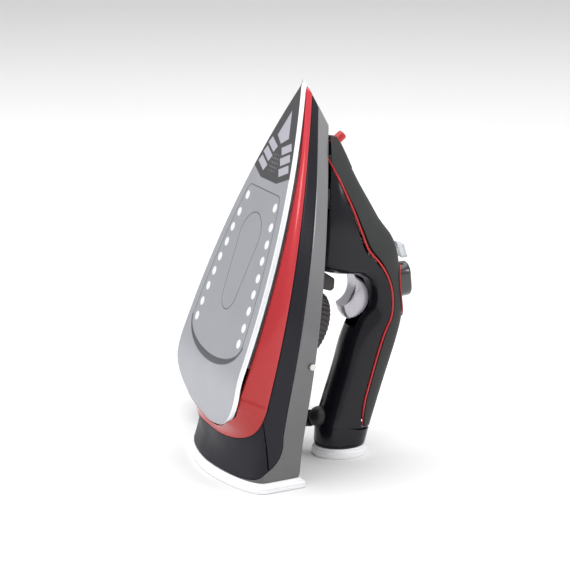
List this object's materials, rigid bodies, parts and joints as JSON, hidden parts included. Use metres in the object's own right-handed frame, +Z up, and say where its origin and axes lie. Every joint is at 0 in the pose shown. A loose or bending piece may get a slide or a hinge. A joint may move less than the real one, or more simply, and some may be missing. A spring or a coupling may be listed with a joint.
{
  "type": "steam iron",
  "caption": "Upright steam iron resting on its heel and handle end, with a trigger, spray key, steam lever, filler flap, dial and swivelling cord.",
  "frame": {"origin": "middle of the standing iron's footprint box, on the floor, without the cord", "axes": "+Z up as it stands, the soleplate faces -Y and leans back 20.5 degrees, +X to the iron's own side"},
  "size_m": [0.2455, 0.157, 0.266],
  "materials": {
    "sole_metal": "satin eloxal soleplate with engraved outlines",
    "casting_metal": "rough die casting",
    "steel": "bright steel",
    "skirt_red": "glossy metallic red",
    "body_dark": "glossy near-black with a blue cast",
    "tank_smoke": "smoky grey tank plastic",
    "deck_gloss": "glossy black",
    "heel_satin": "satin dark grey",
    "foot_clear": "translucent white pad",
    "handle_gloss": "glossy black",
    "grip_soft": "soft-touch dark grey",
    "piping_red": "red inlay",
    "trigger_silver": "silver metallic plastic",
    "button_black": "glossy black key",
    "lever_clear": "translucent pale plastic",
    "dial_dark": "ribbed dark knob",
    "inner_plastic": "plain moulded plastic",
    "lamp": "small lens",
    "rubber_black": "matt black rubber",
    "plug_brass": "bright brass"
  },
  "bodies": {
    "iron": {"soleplate": "sole_metal", "heater_casting": "casting_metal", "heating_element": "steel", "chamber_lid": "casting_metal", "heat_shield": "steel", "thermostat": "casting_metal", "thermal_fuse": "inner_plastic", "skirt_ring": "skirt_red", "body_shell": "body_dark", "water_tank": "tank_smoke", "deck_cover": "deck_gloss", "heel_cover": "heel_satin", "heel_foot": "foot_clear", "handle_shell": "handle_gloss", "handle_cover": "grip_soft", "control_trim": "piping_red", "handle_end_cap": "handle_gloss", "handle_foot": "foot_clear", "end_screw": "steel", "trigger_spring": "steel", "pump_body": "inner_plastic", "pump_spring": "steel", "pump_hose": "inner_plastic", "valve_seat": "rubber_black", "flap_pin": "steel", "filler_funnel": "inner_plastic", "spray_nozzle": "piping_red", "indicator_lamp": "lamp", "dial_pointer": "dial_dark", "terminal_block": "inner_plastic", "cord_clamp": "inner_plastic", "cord_tube": "rubber_black", "cord_coil": "rubber_black", "cord_tail": "rubber_black", "plug_body": "rubber_black", "piping_left": "piping_red", "piping_right": "piping_red", "plug_pin_left": "plug_brass", "plug_pin_right": "plug_brass", "casting_screw_left": "steel", "casting_screw_right": "steel", "casting_screw_front": "steel"},
    "trigger": {"trigger": "trigger_silver"},
    "spray_button": {"spray_button": "button_black", "pump_piston": "inner_plastic"},
    "steam_lever": {"steam_lever": "lever_clear"},
    "valve_rod": {"valve_rod": "steel"},
    "filler_flap": {"filler_flap": "grip_soft"},
    "dial": {"temperature_dial": "dial_dark", "thermostat_shaft": "inner_plastic"},
    "cord_swivel": {"swivel_ball": "rubber_black", "strain_relief": "rubber_black"}
  },
  "joints": [
    {"name": "trigger_squeeze", "type": "hinge", "parent": "iron", "child": "trigger", "pos_m": [0, 0.04332, 0.12877], "axis": [1, 0, 0], "range_deg": [0, 9], "stiffness_Nm_per_rad": 0.3, "springref_deg": -5.73},
    {"name": "spray_press", "type": "slide", "parent": "iron", "child": "spray_button", "axis": [0, -0.9958, -0.0918], "range_m": [0, 0.004], "stiffness_N_per_m": 400, "springref_m": -0.004},
    {"name": "steam_tilt", "type": "hinge", "parent": "iron", "child": "steam_lever", "pos_m": [0, 0.04752, 0.14083], "axis": [0, 0.0918, -0.9958], "range_deg": [-14, 14]},
    {"name": "valve_turn", "type": "hinge", "parent": "iron", "child": "valve_rod", "pos_m": [0, 0.01713, 0.16152], "axis": [0, 0.9367, -0.3502], "range_deg": [-14, 14]},
    {"name": "flap_open", "type": "hinge", "parent": "iron", "child": "filler_flap", "pos_m": [0, 0.02822, 0.20201], "axis": [1, 0, 0], "range_deg": [0, 75]},
    {"name": "dial_turn", "type": "hinge", "parent": "iron", "child": "dial", "pos_m": [0, -0.02004, 0.10495], "axis": [0, 0.9367, -0.3502], "range_deg": [-135, 135]},
    {"name": "cord_swing", "type": "hinge", "parent": "iron", "child": "cord_swivel", "pos_m": [0, 0.01042, 0.0279], "axis": [-0.2779, -0.137, 0.9508], "range_deg": [-18, 18]}
  ],
  "couplings": [
    {"joint": "valve_turn", "follows": "steam_tilt", "ratio": 1}
  ]
}
